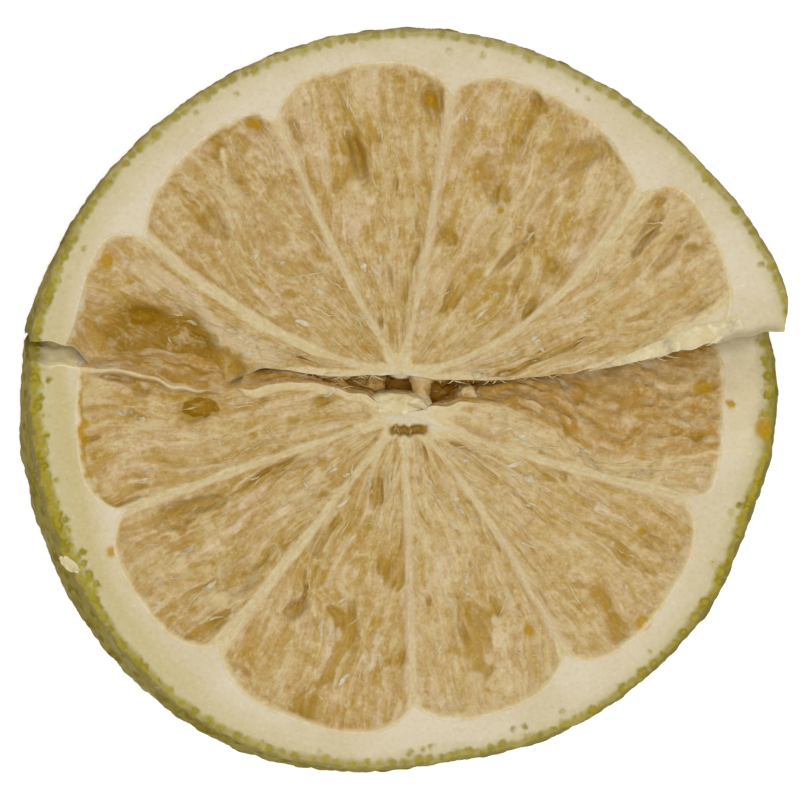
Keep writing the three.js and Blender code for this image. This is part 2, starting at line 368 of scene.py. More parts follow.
def note(piece, name, values):
    """Keeps one number a vertex under a name, for the finish to read."""
    layer = piece.data.attributes.get(name) or piece.data.attributes.new(name, "FLOAT", "POINT")
    layer.data.foreach_set("value", np.ascontiguousarray(values, np.float32))


def weigh(piece, name, weights):
    """A vertex group with a weight for each vertex."""
    group = piece.vertex_groups.new(name=name)
    steps = np.round(np.clip(weights, 0, 1) * 50).astype(int)
    for step in range(1, 51):
        found = np.nonzero(steps == step)[0]
        if len(found):
            group.add(found.tolist(), step / 50, "REPLACE")


def lay_uv(piece, name, u, v):
    """A UV map from one pair of numbers a vertex."""
    layer = piece.data.uv_layers.new(name=name)
    corner = np.empty(len(piece.data.loops), np.int32)
    piece.data.loops.foreach_get("vertex_index", corner)
    layer.data.foreach_set("uv", np.stack([u[corner], v[corner]], 1).astype(np.float32).ravel())


def cut_edges(block, axis, count):
    """Cuts every edge that runs along the axis that many times."""
    block.data.update()
    ends = np.array([edge.vertices for edge in block.data.edges])
    reach = np.abs(np.diff(points_of(block)[ends], axis=1)[:, 0])
    bpy.ops.object.mode_set(mode="EDIT")
    bpy.ops.mesh.select_mode(type="EDGE")
    bpy.ops.mesh.select_all(action="DESELECT")
    bpy.ops.object.mode_set(mode="OBJECT")
    block.data.edges.foreach_set("select", reach[:, axis] > HAIR)
    bpy.ops.object.mode_set(mode="EDIT")
    bpy.ops.mesh.subdivide(number_cuts=count)
    bpy.ops.object.mode_set(mode="OBJECT")


def unit_bar(name, cuts):
    """A unit cube whose edges along X, Y and Z are cut, once for each count."""
    bpy.ops.object.select_all(action="DESELECT")
    bpy.ops.mesh.primitive_cube_add(size=1, location=(0.5, 0.5, 0.5))
    block = bpy.context.object
    block.name = name
    bpy.ops.object.transform_apply(location=True, rotation=True, scale=True)
    for axis, counts in enumerate(cuts):
        for count in counts:
            cut_edges(block, axis, count)
    return block


def unit_slab(name, cuts, layers):
    """A finely cut unit face with walls drawn down from its border and a plain base."""
    bpy.ops.object.select_all(action="DESELECT")
    bpy.ops.mesh.primitive_plane_add(size=1, location=(0.5, 0.5, 1))
    block = bpy.context.object
    block.name = name
    bpy.ops.object.transform_apply(location=True, rotation=True, scale=True)
    for axis, counts in enumerate(cuts):
        for count in counts:
            cut_edges(block, axis, count)
    bpy.ops.object.mode_set(mode="EDIT")
    bpy.ops.mesh.select_all(action="SELECT")
    bpy.ops.mesh.region_to_loop()
    for _ in range(layers):
        bpy.ops.mesh.extrude_edges_move(TRANSFORM_OT_translate={"value": (0, 0, -1 / layers)})
    bpy.ops.mesh.edge_face_add()
    bpy.ops.mesh.select_all(action="SELECT")
    bpy.ops.mesh.normals_make_consistent(inside=False)
    bpy.ops.object.mode_set(mode="OBJECT")
    return block


def copy_of(block, name):
    twin = block.copy()
    twin.data = block.data.copy()
    twin.name = twin.data.name = name
    bpy.context.scene.collection.objects.link(twin)
    return twin


def texture(name, kind, size, **settings):
    made = bpy.data.textures.new(name, kind)
    made.noise_scale = size
    for key, value in settings.items():
        setattr(made, key, value)
    return made


def press(piece, relief, strength, group, uv=None, direction="Z", middle=0.5):
    """Presses a texture's relief into the piece, and returns how far each vertex moved."""
    before = points_of(piece)
    modifier = piece.modifiers.new("press", "DISPLACE")
    if relief:
        modifier.texture = relief
    modifier.texture_coords = "UV" if uv else "LOCAL"
    if uv:
        modifier.uv_layer = uv
    modifier.direction = direction
    modifier.strength = strength * MM
    modifier.mid_level = middle
    modifier.vertex_group = group
    only(piece)
    bpy.ops.object.modifier_apply(modifier=modifier.name)
    return np.linalg.norm(points_of(piece) - before, axis=1) / MM


def evened(piece, values, rounds):
    """The values averaged over each vertex's neighbours, as many times over."""
    ends = np.empty(len(piece.data.edges) * 2, np.int32)
    piece.data.edges.foreach_get("vertices", ends)
    one, other = ends.reshape(-1, 2).T
    count = len(values)
    beside = np.bincount(one, minlength=count) + np.bincount(other, minlength=count)
    for _ in range(rounds):
        total = np.bincount(one, values[other], count) + np.bincount(other, values[one], count)
        values = 0.5 * values + 0.5 * total / np.maximum(beside, 1)
    return values


def finish_piece(piece, finish, sharp=55):
    only(piece)
    bpy.ops.object.shade_smooth_by_angle(angle=math.radians(sharp))
    piece.data.materials.clear()
    piece.data.materials.append(finish)
    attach(piece, "root")
    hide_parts(NODE)


# ---------------------------------------------------------------- finishes


def new_material(name):
    material = bpy.data.materials.new(name)
    material.use_nodes = True
    return material, material.node_tree, material.node_tree.nodes["Principled BSDF"]


def node(tree, kind, inputs=(), **settings):
    """A node with its settings and inputs; an input is a value or another node's output."""
    made = tree.nodes.new(kind)
    for key, value in settings.items():
        setattr(made, key, value)
    for key, value in dict(inputs).items():
        if isinstance(value, bpy.types.NodeSocket):
            tree.links.new(value, made.inputs[key])
        else:
            made.inputs[key].default_value = value
    return made


def shade(red, green, blue):
    """A surface colour that looks like this one, of 0 to 255, under the studio light."""
    def linear(channel):
        share = channel / 255
        return share / 12.92 if share <= 0.04045 else ((share + 0.055) / 1.055) ** 2.4
    return (0.83 * linear(red), 0.83 * linear(green), 0.81 * linear(blue), 1.0)


def mix(tree, factor, one, other, blend="MIX"):
    made = node(tree, "ShaderNodeMix", data_type="RGBA", blend_type=blend)
    for slot, value in ((0, factor), (6, one), (7, other)):
        if isinstance(value, bpy.types.NodeSocket):
            tree.links.new(value, made.inputs[slot])
        else:
            made.inputs[slot].default_value = value
    return made.outputs[2]


def reckon(tree, operation, one, other=0.0, clamp=False):
    return node(tree, "ShaderNodeMath", {0: one, 1: other}, operation=operation,
                use_clamp=clamp).outputs[0]


def between(tree, value, low, high):
    """The value as a smooth share of the way from low to high."""
    return node(tree, "ShaderNodeMapRange", {0: value, 1: low, 2: high},
                interpolation_type="SMOOTHSTEP").outputs[0]


def times(tree, one, other):
    return reckon(tree, "MULTIPLY", one, other)


def plus(tree, one, other):
    return reckon(tree, "ADD", one, other)


def swing(tree, grain, amount):
    """The grain's swing about its middle, made this much larger."""
    return times(tree, reckon(tree, "SUBTRACT", grain, 0.5), amount)


def tint(tree, colour, other, value, low, high, most=1.0):
    """The colour, turned to the other one as the value goes from low to high."""
    share = between(tree, value, low, high)
    return mix(tree, times(tree, share, most) if most < 1 else share, colour, other)


def noted(tree, name):
    return node(tree, "ShaderNodeAttribute", attribute_name=name).outputs["Fac"]


def noise(tree, where, scale, detail=3.0, rough=0.5, warp=0.0):
    return node(tree, "ShaderNodeTexNoise", {"Vector": where, "Scale": scale, "Detail": detail,
                "Roughness": rough, "Distortion": warp}).outputs["Fac"]


def bump(tree, skin, height, strength, distance):
    made = node(tree, "ShaderNodeBump", {"Height": height, "Strength": strength,
                "Distance": distance * MM})
    tree.links.new(made.outputs[0], skin.inputs["Normal"])


def set_sockets(skin, **values):
    """Sets sockets of the shader; an underscore stands for a space in a socket's name."""
    for name, value in values.items():
        skin.inputs[name.replace("_", " ")].default_value = value


def soak(skin, weight, depth, blue=0.35):
    """Light soaks this deep into the dry tissue, in mm; green and blue light less so than red."""
    set_sockets(skin, Subsurface_Weight=weight, Subsurface_Radius=(1.0, 0.75, blue),
                Subsurface_Scale=depth * MM)


def object_place(tree):
    return node(tree, "ShaderNodeTexCoord").outputs["Object"]


def sockets(tree, ins, outs):
    """The group's own inputs, as (name, value), and outputs; floats, or colours as tuples."""
    for name, value in ins:
        kind = "NodeSocketColor" if isinstance(value, tuple) else "NodeSocketFloat"
        tree.interface.new_socket(name, in_out="INPUT", socket_type=kind).default_value = value
    for name, kind in outs:
        tree.interface.new_socket(name, in_out="OUTPUT", socket_type=kind)
    return tree.nodes.new("NodeGroupInput"), tree.nodes.new("NodeGroupOutput")


def dry_speckle_group():
    """Fine dry grain: a colour with darker and paler specks, and their height."""
    tree = bpy.data.node_groups.new("dry_speckle", "ShaderNodeTree")
    given, result = sockets(tree, [("Color", (0.5, 0.5, 0.5, 1)), ("Size", 0.3), ("Amount", 0.5)],
                            [("Color", "NodeSocketColor"), ("Height", "NodeSocketFloat")])
    scale = reckon(tree, "DIVIDE", 1 / MM, given.outputs["Size"])
    grain = node(tree, "ShaderNodeTexNoise", {"Vector": object_place(tree), "Scale": scale,
                 "Detail": 2.0, "Roughness": 0.6}).outputs["Fac"]
    dark = mix(tree, 1.0, given.outputs["Color"], (0.80, 0.77, 0.70, 1), "MULTIPLY")
    pale = mix(tree, 1.0, given.outputs["Color"], (0.25, 0.25, 0.25, 1), "SCREEN")
    low = times(tree, between(tree, grain, 0.5, 0.3), given.outputs["Amount"])
    high = times(tree, between(tree, grain, 0.58, 0.75), given.outputs["Amount"])
    colour = mix(tree, high, mix(tree, low, given.outputs["Color"], dark), pale)
    tree.links.new(colour, result.inputs["Color"])
    tree.links.new(grain, result.inputs["Height"])
    return tree


DRY_SPECKLE = dry_speckle_group()


def speckled(tree, colour, size, amount):
    made = node(tree, "ShaderNodeGroup", node_tree=DRY_SPECKLE)
    tree.links.new(colour, made.inputs["Color"])
    made.inputs["Size"].default_value = size
    made.inputs["Amount"].default_value = amount
    return made.outputs["Color"], made.outputs["Height"]


PITH_CREAM = shade(214, 201, 175)
PITH_WARM = shade(207, 192, 160)
AMBER = shade(180, 138, 20)
FLESH_TAN = shade(190, 158, 105)
FLESH_YELLOW = shade(184, 154, 86)
FLESH_FILM = shade(203, 176, 139)
FLESH_PALE = shade(209, 188, 142)
FLESH_OCHRE = shade(170, 132, 38)
# Painted depth shade: brown for flesh and core deep below the cut face, saturated orange on the crack's
# deepest floor.
DEPTH_SHADE_BROWN = shade(150, 98, 2)
PIT_OLIVE = shade(155, 114, 2)
DEPTH_SHADE_ORANGE = shade(213, 136, 0)
FLESH_TORN = shade(192, 150, 76)
# Painted highlight colour for glints on the sac films.
PAINTED_GLINT_WHITE = shade(220, 199, 170)


def flesh_finish():
    material, tree, skin = new_material("dried_flesh")
    grain = node(tree, "ShaderNodeUVMap", uv_map="grain").outputs[0]
    place = object_place(tree)
    shade_depth, cavity, web, pit, torn, inside, sac, hollow, ridge, dry = (
        noted(tree, name) for name in
        ("shade_depth", "cavity", "web", "pit", "torn", "inside", "sac", "hollow", "ridge", "dry"))
    blotch = noise(tree, place, 260.0, 3.0)
    cloud = noise(tree, place, 900.0, 3.0)
    crumb = noise(tree, place, 1900.0, 3.0, 0.65)
    streak = noise(tree, grain, 1.3, 4.0, 0.65, 0.6)
    thread = noise(tree, grain, 4.5, 3.0, 0.6, 0.8)
    thread = plus(tree, times(tree, thread, 0.65), times(tree, crumb, 0.35))
    film = noise(tree, grain, 0.9, 3.0, 0.55, 1.0)
    colour = tint(tree, FLESH_YELLOW, FLESH_TAN, streak, 0.4, 0.6)
    fibrous = tint(tree, shade(172, 126, 42), FLESH_TORN, streak, 0.35, 0.65)
    colour = mix(tree, torn, colour, fibrous)
    # Deeper sac relief is painted darker ochre: painted shade in the sacs.
    colour = tint(tree, colour, shade(180, 145, 62), sac, 0.3, 1.2)
    colour = mix(tree, dry, colour, shade(212, 190, 146))
    colour = tint(tree, colour, shade(162, 130, 72), dry, 0.0, -1.0)
    colour = tint(tree, colour, FLESH_FILM, film, 0.48, 0.66, 0.9)
    colour = tint(tree, colour, FLESH_PALE, blotch, 0.48, 0.7, 0.7)
    colour = tint(tree, colour, FLESH_PALE, thread, 0.51, 0.75)
    colour = tint(tree, colour, shade(172, 134, 56), thread, 0.49, 0.25)
    colour = mix(tree, times(tree, torn, 0.3), colour, shade(178, 134, 50))
    colour = tint(tree, colour, FLESH_PALE, crumb, 0.5, 0.7, 0.6)
    colour = tint(tree, colour, shade(170, 131, 52), crumb, 0.5, 0.3, 0.5)
    # Painted crevice shade: ochre in small cavities below the smoothed surface, mixed with the thread
    # grain, and a paler painted highlight on the ridges between them.
    crevice_shade_and_grain = plus(tree, times(tree, cavity, 2.0), times(tree, thread, 0.4))
    colour = tint(tree, colour, FLESH_OCHRE, crevice_shade_and_grain, 0.3, 1.1)
    colour = tint(tree, colour, FLESH_FILM, crevice_shade_and_grain, 0.05, -0.35)
    wander = node(tree, "ShaderNodeTexNoise", {"Vector": grain, "Scale": 1.6, "Detail": 2.0})
    bent = node(tree, "ShaderNodeVectorMath", {0: grain, 1: wander.outputs["Color"]},
                operation="ADD").outputs[0]
    to_side = node(tree, "ShaderNodeTexVoronoi", {"Vector": bent, "Scale": 0.8},
                   feature="DISTANCE_TO_EDGE").outputs["Distance"]
    colour = tint(tree, colour, shade(176, 138, 62), to_side, 0.08, 0.4, 0.45)
    sac_side = times(tree, between(tree, to_side, 0.13, 0.0), between(tree, cloud, 0.35, 0.6))
    colour = mix(tree, times(tree, sac_side, 0.5), colour, shade(213, 192, 150))
    # Deeper pressed pits turn ochre: partly the flesh's own ochre, partly painted shade in the pits; the
    # browned band by the pith adds to it.
    colour = tint(tree, colour, FLESH_OCHRE, pit, 0.0, 0.9, 0.8)
    # Painted depth shade: the flesh turns brown, then saturated orange, the deeper it lies below the cut
    # face.
    colour = tint(tree, colour, DEPTH_SHADE_BROWN, shade_depth, 1.4, 2.6)
    colour = tint(tree, colour, DEPTH_SHADE_ORANGE, shade_depth, 4.0, 5.5)
    # Hollows, the slit and the open sacs' floors turn ochre and then dark olive with their depth: partly
    # the dried flesh's own colour, partly painted shade in the hollows.
    uneven = plus(tree, swing(tree, streak, 2.0), swing(tree, cloud, 2.0))
    uneven = plus(tree, hollow, uneven)
    colour = tint(tree, colour, FLESH_OCHRE, uneven, 0.1, 0.9, 0.8)
    colour = tint(tree, colour, shade(148, 110, 18), uneven, 0.8, 1.7, 0.9)
    colour = tint(tree, colour, PIT_OLIVE, uneven, 2.0, 2.6)
    torn_pale = plus(tree, ridge, swing(tree, cloud, 2.2))
    colour = tint(tree, colour, shade(207, 184, 146), torn_pale, 0.15, 0.75, 0.8)
    strand = noise(tree, grain, 0.8, 4.0, 0.55, 0.4)
    strand = reckon(tree, "ABSOLUTE", reckon(tree, "SUBTRACT", strand, 0.5))
    strand = times(tree, between(tree, strand, 0.04, 0.0), between(tree, cloud, 0.35, 0.65))
    colour = mix(tree, times(tree, strand, 0.35), colour, shade(211, 191, 142))
    # Painted highlights: pinkish-white glints on the sac films; the roughness is lower in the same places.
    painted_glint = times(tree, between(tree, cloud, 0.52, 0.72), between(tree, film, 0.5, 0.68))
    colour = mix(tree, times(tree, painted_glint, 0.8), colour, PAINTED_GLINT_WHITE)
    stain = plus(tree, noted(tree, "stain"), swing(tree, cloud, 1.2))
    colour = tint(tree, colour, AMBER, stain, 0.15, 0.7, 0.9)
    pale = tint(tree, shade(201, 179, 128), shade(214, 196, 156), thread, 0.35, 0.65)
    pale = tint(tree, pale, shade(214, 198, 166), web, -0.3, -0.8)
    membrane = between(tree, plus(tree, web, swing(tree, streak, 0.7)), 0.15, -0.1)
    membrane = times(tree, membrane, between(tree, hollow, 0.9, 0.2))
    colour = mix(tree, membrane, colour, pale)
    ragged = plus(tree, inside, swing(tree, cloud, 1.4))
    colour = tint(tree, colour, shade(205, 187, 142), ragged, 0.35, 0.0)
    colour = tint(tree, colour, PITH_CREAM, ragged, 0.05, -0.2)
    # Painted light: a thin warm, pale line where the flesh meets the pith, offsetting the shade of the
    # small step there.
    colour = tint(tree, colour, shade(236, 210, 164), inside, 0.08, 0.0, 0.35)
    colour, height = speckled(tree, colour, 0.22, 0.4)
    tree.links.new(colour, skin.inputs["Base Color"])
    gloss = mix(tree, between(tree, cloud, 0.52, 0.72), (0.62, 0.62, 0.62, 1), (0.35, 0.35, 0.35, 1))
    tree.links.new(gloss, skin.inputs["Roughness"])
    set_sockets(skin, Specular_IOR_Level=0.12)
    soak(skin, 0.35, 0.5)
    bump(tree, skin, plus(tree, thread, times(tree, height, 0.6)), 0.4, 0.07)
    return material


def rind_finish():
    """Cream pith, the green row of oil glands beneath the skin, and the dull green skin."""
    material, tree, skin = new_material("rind_and_pith")
    place = object_place(tree)
    depth, gland, wall = noted(tree, "depth"), noted(tree, "gland"), noted(tree, "wall")
    green, tinge_and_shade, broken_end_light = noted(tree, "green"), noted(tree, "tinge_and_shade"), noted(tree, "broken_end_light")
    mottle = noise(tree, place, 1000.0, 1.0)
    soft = noise(tree, place, 200.0, 3.0)
    patch = noise(tree, place, 700.0, 4.0)
    fine = noise(tree, place, 2500.0, 2.0)
    pith = tint(tree, PITH_CREAM, PITH_WARM, soft, 0.4, 0.65)
    ragged = plus(tree, depth, swing(tree, patch, 0.6))
    halo = times(tree, between(tree, ragged, 1.15, 0.5), green)
    # Pith near the rind is darker and yellower, most on the left: partly the pith's own tinge, partly
    # painted shade on that side.
    tinge_and_shade = reckon(tree, "MULTIPLY", between(tree, ragged, 2.4, 0.9), tinge_and_shade, clamp=True)
    pith = mix(tree, tinge_and_shade, pith, shade(196, 180, 132))
    # Painted light: the torn end faces of the pith are painted brighter to lift the shade they lie in.
    pith = mix(tree, broken_end_light, pith, shade(242, 226, 178))
    # Painted shade on the upper lip's rounded-down edge at the gape.
    pith = mix(tree, noted(tree, "turned_down_shade"), pith, shade(164, 152, 116))
    colour = mix(tree, halo, pith, shade(196, 184, 142))
    band = times(tree, between(tree, ragged, 0.62, 0.22), green)
    colour = mix(tree, band, colour, shade(150, 135, 56))
    disc = tint(tree, shade(138, 122, 14), shade(174, 160, 70), mottle, 0.4, 0.6)
    frayed = plus(tree, gland, swing(tree, fine, 0.5))
    strength = times(tree, between(tree, mottle, 0.72, 0.45), green)
    colour = mix(tree, times(tree, between(tree, frayed, 0.14, -0.16), strength), colour, disc)
    colour = mix(tree, times(tree, between(tree, frayed, -0.1, -0.28), green), colour,
                 shade(160, 145, 44))
    colour = mix(tree, times(tree, between(tree, ragged, 0.14, 0.0), green), colour,
                 shade(128, 114, 64))
    stain = plus(tree, noted(tree, "stain"), swing(tree, patch, 1.1))
    colour = tint(tree, colour, AMBER, stain, 0.2, 0.8, 0.9)
    cut_face, height = speckled(tree, colour, 0.3, 0.3)
    peel = tint(tree, shade(126, 111, 24), shade(144, 130, 58), patch, 0.38, 0.62)
    peel = tint(tree, peel, shade(153, 140, 88), soft, 0.52, 0.7)
    dimple = times(tree, between(tree, frayed, 0.24, -0.06), between(tree, mottle, 0.3, 0.55))
    peel = mix(tree, times(tree, dimple, 0.75), peel, shade(104, 91, 10))
    peel = tint(tree, peel, shade(164, 152, 96), fine, 0.5, 0.8, 0.5)
    colour = tint(tree, cut_face, peel, wall, 0.4, 0.6)
    tree.links.new(colour, skin.inputs["Base Color"])
    set_sockets(skin, Roughness=0.8, Specular_IOR_Level=0.05)
    bump(tree, skin, plus(tree, fine, times(tree, height, 0.5)), 0.35, 0.06)
    return material


def core_finish():
    material, tree, skin = new_material("core_pith")
    place = object_place(tree)
    soft = noise(tree, place, 500.0, 3.0)
    thread = noise(tree, place, 1800.0, 3.0)
    shade_depth = noted(tree, "shade_depth")
    colour = tint(tree, shade(218, 202, 162), shade(209, 190, 142), soft, 0.35, 0.65)
    colour = tint(tree, colour, shade(226, 212, 178), thread, 0.5, 0.72)
    # Painted depth shade: the core pith turns tan, brown and then saturated orange with the depth noted for
    # it.
    colour = tint(tree, colour, shade(188, 152, 88), shade_depth, 0.6, 1.3)
    colour = tint(tree, colour, DEPTH_SHADE_BROWN, shade_depth, 1.7, 2.6)
    colour = tint(tree, colour, DEPTH_SHADE_ORANGE, shade_depth, 4.0, 5.5)
    colour, height = speckled(tree, colour, 0.25, 0.5)
    tree.links.new(colour, skin.inputs["Base Color"])
    set_sockets(skin, Roughness=0.7, Specular_IOR_Level=0.25)
    soak(skin, 0.3, 0.4)
    bump(tree, skin, plus(tree, thread, height), 0.5, 0.08)
    return material


def film_finish(name, dull, bright, rough):
    """Dried skins of the juice sacs and the loose strands torn from them."""
    material, tree, skin = new_material(name)
    place = object_place(tree)
    patch = noise(tree, place, 900.0, 3.0)
    colour = tint(tree, dull, bright, patch, 0.35, 0.65)
    colour, height = speckled(tree, colour, 0.2, 0.5)
    tree.links.new(colour, skin.inputs["Base Color"])
    set_sockets(skin, Roughness=rough)
    soak(skin, 0.4, 0.3, blue=0.4)
    bump(tree, skin, height, 0.4, 0.05)
    return material


FLESH = flesh_finish()
RIND = rind_finish()
CORE = core_finish()
FILM = film_finish("sac_film", shade(198, 170, 122), shade(212, 190, 148), 0.4)
STRAND = film_finish("torn_strand", shade(194, 167, 112), shade(208, 187, 140), 0.6)

# ---------------------------------------------------------------- flesh

SACS = texture("juice_sacs", "VORONOI", 1.0, weight_1=-1.0, weight_2=1.0)
PITS = texture("open_sacs", "CLOUDS", 1.0, noise_depth=2, contrast=3.0, intensity=0.14, use_clamp=True)
WRINKLES = texture("wrinkles", "CLOUDS", 1.0, noise_depth=3)
LUMPS = texture("lumps", "CLOUDS", 1.3 * MM, noise_depth=3)
CRUMPLE = texture("crumple", "CLOUDS", 0.4 * MM, noise_depth=2)
SWELLS = texture("swells", "CLOUDS", 2.6 * MM, noise_depth=1)


def web_distance(half, index, angle, radius, share):
    """Distance beyond the nearest membrane's side; negative within a membrane."""
    nearest = 99.0 + 0 * radius
    outward = np.maximum(0, border_distance(half, index + 0.001 + 0 * radius) - radius)
    for side in (index, index + 1):
        run = half["lines"][side]
        away = radius * np.radians(np.abs(angle - edge_angle(half, side, radius, share)))
        width = np.interp(radius, *zip(*run["web"]))
        width = width * (0.85 + 0.3 * drift(radius, 0 * radius, side + half["seed"], 6.0))
        width = width + half["hub_web"] * bell(radius, 1.7) + 0.25 * bell(outward, 0.8)
        nearest = np.minimum(nearest, away - width)
    return nearest


def flesh_segment(name, blank, half, index, under=False):
    """One wedge of juice sacs between two membranes; the underside's are laid upside down."""
    piece = copy_of(blank, name)
    out, across, up = points_of(piece).T
    turn = np.clip(index + (1 - across if under else across), index, index + 1 - HAIR)
    base = 0.0 if under else (LAYER - 0.3) / THICKNESS
    share = 0 * up if under else base + (1 - base) * up
    x, y, radius, angle = spread_out(half, turn, 0.006 + 1.014 * out ** 0.92, share)
    drape = draped(half, index, across, radius)
    y = y - 0.8 * drape * crack_width(x) * smooth(share, 0.6, 1)
    border = border_distance(half, turn, share)
    web = np.minimum(web_distance(half, index, angle, radius, share), fold_distance(x, y))
    inward = 1 - smooth(radius, border - 0.6, border)
    fleshy = smooth(web, 0, 0.3)
    dipping = fleshy * FLESH_DEPTH * smooth(np.minimum(border - radius, web), 0, 1.8)
    if under:
        height = LAYER * (1 - up) + (UNDER_REST + dipping) * up
    else:
        beyond = 0.12 * smooth(radius, border, 1.02 * border)
        dipping = dipping + beyond + slit_depth(x, y) + 0.35 * drape
        dipping = dipping + fleshy * (hollow_depth(x, y) - 0.16 * ridge(x, y))
        height = share * (face_height(half, x, y) + 0.02 - dipping)
    set_points(piece, np.stack([x, y, height], 1) * MM)
    top = at_end(up)
    seed = 3.7 * index + half["seed"]
    span = half["lines"][index + 1]["rim"] - half["lines"][index]["rim"]
    side = (across - 0.5) * math.radians(span) * SAC_RADIUS
    side = side * (np.maximum(radius, 0.3) / SAC_RADIUS) ** 0.6 + (1 - up) * 10
    sac_u = side + 0.45 * drift(side, radius, seed, 9.0) + 0.12 * drift(side, radius, seed + 2, 3.0)
    sac_v = radius + 0.8 * drift(side, radius, seed + 5, 6.0)
    for pattern, (wide, long) in GRAINS.items():
        lay_uv(piece, pattern, sac_u / wide / 2 + seed, sac_v / long / 2)
    lay_uv(piece, "grain", sac_u + 10 * seed, sac_v / 3.4)
    walls = smooth(up, 1.0, 0.86) * smooth(up, 0.0, 0.2) * smooth(out, 0.02, 0.1) * smooth(out, 1, 0.95)
    beside = 0 * up if under else beside_crack(half, index, across)
    walls = walls * beside * (1 - 0.6 * drape)
    if half is LOWER and index == 0:
        walls = walls * (1 - 0.65 * smooth(radius, 7, 11))
    weigh(piece, "top", np.maximum(top * fleshy * (0.25 + 0.75 * inward), 0))
    shown = 0.0 if under else 1.0
    open_share = 1 - shown * in_spots(WHOLE, x, y)
    weigh(piece, "opened", top * fleshy * inward * smooth(web, 0.1, 0.5) * open_share)
    weigh(piece, "wall", walls)
    sign = -1 if under else 1
    pit = press(piece, PITS, -0.9 * sign, "opened", uv="pits", middle=0.0)
    sac = press(piece, SACS, -0.6 * sign, "opened", uv="sacs", middle=0.0)
    press(piece, LUMPS, 0.22 * sign, "top", middle=0.7)
    press(piece, WRINKLES, 0.2 * sign, "top", uv="wrinkles", middle=0.6)
    press(piece, CRUMPLE, 0.1, "top")
    if walls.any():
        pit = pit + press(piece, PITS, -0.8, "wall", uv="pits", direction="NORMAL", middle=0.0)
        press(piece, SACS, -1.0, "wall", uv="sacs", direction="NORMAL", middle=0.1)
        press(piece, WRINKLES, 0.35, "wall", uv="wrinkles", direction="NORMAL")
        press(piece, LUMPS, 0.5, "wall", direction="NORMAL")
    height = points_of(piece)[:, 2] / MM
    if under:
        height = np.maximum(height, 0.0)
        set_points(piece, np.concatenate([points_of(piece)[:, :2], height[:, None] * MM], 1))
    level = evened(piece, height, 60)
    # How far each vertex lies below its smoothed surroundings, for the painted crevice shade.
    note(piece, "cavity", (level - height) * top * sign)
    seen = np.degrees(np.arctan2(y, x))
    browned = shown * hump(seen, 190, 13) * bell(border - radius - 0.15, 0.22)
    # Depth of the pressed pits, for their painted shade, plus the browned band by the pith.
    note(piece, "pit", pit / 0.3 + 2.0 * browned)
    note(piece, "dry", (half["dryness"][index] + 0.35 * bell(radius, 5)) * top)
    note(piece, "torn", beside * smooth(up, 1.0, 0.97))
    # Depth for the painted depth shade; the crack's torn walls get more of it near the hub and less far
    # out.
    depth = np.where(at_start(up), 3.0, height) if under else face_height(half, x, y) - height
    near = 0.7 * smooth(radius, 7, 4)
    if half is LOWER and index == 0:
        near = smooth(radius, 11.5, 9.5) + 0.4 * smooth(radius, 19, 15) * smooth(radius, 10, 12)
    far = 0.5 * smooth(radius, 4, 9) + 0.25 * smooth(radius, 13, 19)
    note(piece, "shade_depth", depth * (1 - far * beside) + 1.4 * beside * near)
    note(piece, "web", np.where(top, web, 1.0))
    note(piece, "inside", np.where(top | (beside > 0), border - radius, 1.0))
    # Depth of the pressed sac relief, for its painted shade.
    note(piece, "sac", sac / 0.1)
    # Depth of the hollows, slit and pit floors, for their colour and painted shade.
    hollow = hollow_depth(x, y) ** 1.3 * fleshy + 2.5 * slit_depth(x, y) + 2.5 * pit_floor(x, y)
    note(piece, "hollow", shown * hollow * (top + 0.6 * beside))
    note(piece, "ridge", shown * top * ridge(x, y))
    note(piece, "stain", shown * in_spots(STAINS, x, y) + 0.5 * browned)
    finish_piece(piece, FLESH)
    return piece


def draped(half, index, across, radius):
    """How much a vertex sags into the narrow crack: only the last upper segment's edge does."""
    if half is not UPPER or index < len(half["lengths"]) - 1:
        return 0 * across
    return smooth(across, 0.7, 1) ** 2 * smooth(radius, 8.0, 12.0) * smooth(radius, 21.6, 20.2)


def edge_spot(half, side, radius):
    """A point on the crack's edge in the cut face: on the half's first line or its last."""
    index = 0 if side == 0 else len(half["lines"]) - 1
    angle = np.radians(edge_angle(half, index, radius, 1.0))
    return half["hub"][0] + radius * np.cos(angle), half["hub"][1] + radius * np.sin(angle)


def crack_width(x):
    """Width of the narrow crack in the cut face."""
    edges = []
    for half, side in ((UPPER, 1), (LOWER, 0)):
        edge_x, edge_y = edge_spot(half, side, np.linspace(24, 1, 200))
        edges.append(np.interp(x, edge_x, edge_y))
    return np.maximum(edges[0] - edges[1], 0)


def beside_crack(half, index, across):
    """Whether a vertex is on the side that the crack tore open."""
    if index == 0:
        return 1.0 * at_start(across)
    return (index == len(half["lengths"]) - 1) * at_end(across)


# ---------------------------------------------------------------- rind and pith


